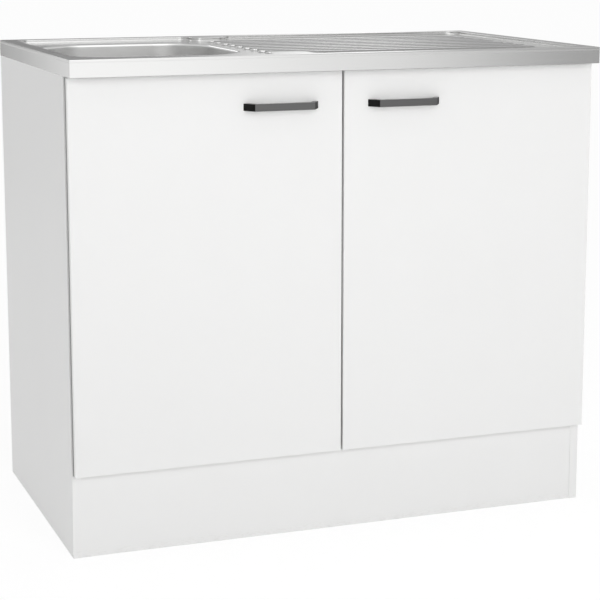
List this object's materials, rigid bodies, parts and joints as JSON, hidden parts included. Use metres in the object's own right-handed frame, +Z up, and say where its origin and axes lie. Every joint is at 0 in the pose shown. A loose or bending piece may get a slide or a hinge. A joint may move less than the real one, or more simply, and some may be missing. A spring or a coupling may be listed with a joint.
{
  "type": "kitchen sink unit",
  "caption": "Kitchen base cabinet with two hinged doors and a plinth under a lay-on stainless sink top with a bowl, a ribbed drainer, a lift-out strainer, a trap and an overflow.",
  "frame": {"origin": "floor level below the middle of the sink top", "axes": "+X to the right of someone facing the doors, +Y towards the wall behind, +Z up"},
  "size_m": [1, 0.6, 0.88],
  "materials": {
    "white_board": "white melamine-faced board, satin",
    "white_door": "white faced board, fine texture",
    "steel_sheet": "silk-brushed stainless sheet",
    "polished_steel": "polished stainless",
    "zinc_steel": "zinc plated",
    "nickel_steel": "nickel plated, satin",
    "dark_metal": "dark brushed",
    "white_plastic": "moulded, satin",
    "knob_plastic": "moulded, satin",
    "black_rubber": "matt",
    "damping_pad": "matt",
    "clear_buffer": "soft, frosted",
    "beech": "raw turned beech"
  },
  "bodies": {
    "cabinet": {"side_panel_left": "white_board", "side_panel_right": "white_board", "bottom_panel": "white_board", "front_rail": "white_board", "rear_top_rail": "white_board", "rear_bottom_rail": "white_board", "plinth_board": "white_board", "sink_top": "steel_sheet", "drain_flange": "polished_steel", "overflow_plate": "polished_steel", "overflow_screw": "polished_steel", "sink_clips": "zinc_steel", "sink_clip_screws": "zinc_steel", "cam_locks": "zinc_steel", "cam_bolts": "zinc_steel", "plate_screws_left": "zinc_steel", "plate_screws_right": "zinc_steel", "arm_screws_left": "zinc_steel", "arm_screws_right": "zinc_steel", "hinge_arms_left": "nickel_steel", "hinge_arms_right": "nickel_steel", "arm_pins_left": "nickel_steel", "arm_pins_right": "nickel_steel", "hinge_plates_left": "nickel_steel", "hinge_plates_right": "nickel_steel", "drain_body": "white_plastic", "drain_lock_ring": "white_plastic", "trap_nut": "white_plastic", "tailpiece": "white_plastic", "trap_bottle": "white_plastic", "trap_cup": "white_plastic", "bottle_nut": "white_plastic", "outlet_pipe": "white_plastic", "outlet_nut": "white_plastic", "overflow_housing": "white_plastic", "overflow_pipe": "white_plastic", "plinth_clips": "white_plastic", "drain_gasket": "black_rubber", "sound_pads": "damping_pad", "dowels": "beech"},
    "hinge_link_left": {"hinge_links_left": "nickel_steel"},
    "door_leaf_left": {"door_left": "white_door", "handle_left": "dark_metal", "handle_screws_left": "zinc_steel", "door_buffers_left": "clear_buffer", "hinge_cups_left": "nickel_steel", "cup_pins_left": "nickel_steel", "cup_screws_left": "zinc_steel"},
    "hinge_link_right": {"hinge_links_right": "nickel_steel"},
    "door_leaf_right": {"door_right": "white_door", "handle_right": "dark_metal", "handle_screws_right": "zinc_steel", "door_buffers_right": "clear_buffer", "hinge_cups_right": "nickel_steel", "cup_pins_right": "nickel_steel", "cup_screws_right": "zinc_steel"},
    "strainer": {"strainer_basket": "polished_steel", "strainer_plug": "black_rubber", "strainer_knob": "knob_plastic"}
  },
  "joints": [
    {"name": "link_swing_left", "type": "hinge", "parent": "cabinet", "child": "hinge_link_left", "pos_m": [-0.466, -0.26, 0.4995], "axis": [0, 0, 1], "range_deg": [0, 40]},
    {"name": "door_swing_left", "type": "hinge", "parent": "hinge_link_left", "child": "door_leaf_left", "pos_m": [-0.4865, -0.2607, 0.4995], "axis": [0, 0, -1], "range_deg": [0, 135]},
    {"name": "link_swing_right", "type": "hinge", "parent": "cabinet", "child": "hinge_link_right", "pos_m": [0.466, -0.26, 0.4995], "axis": [0, 0, -1], "range_deg": [0, 40]},
    {"name": "door_swing_right", "type": "hinge", "parent": "hinge_link_right", "child": "door_leaf_right", "pos_m": [0.4865, -0.2607, 0.4995], "axis": [0, 0, 1], "range_deg": [0, 135]},
    {"name": "strainer_lift", "type": "slide", "parent": "cabinet", "child": "strainer", "axis": [0, 0, 1], "range_m": [0, 0.06]}
  ],
  "couplings": [
    {"joint": "link_swing_left", "follows": "door_swing_left", "ratio": 0.2963},
    {"joint": "link_swing_right", "follows": "door_swing_right", "ratio": 0.2963}
  ]
}
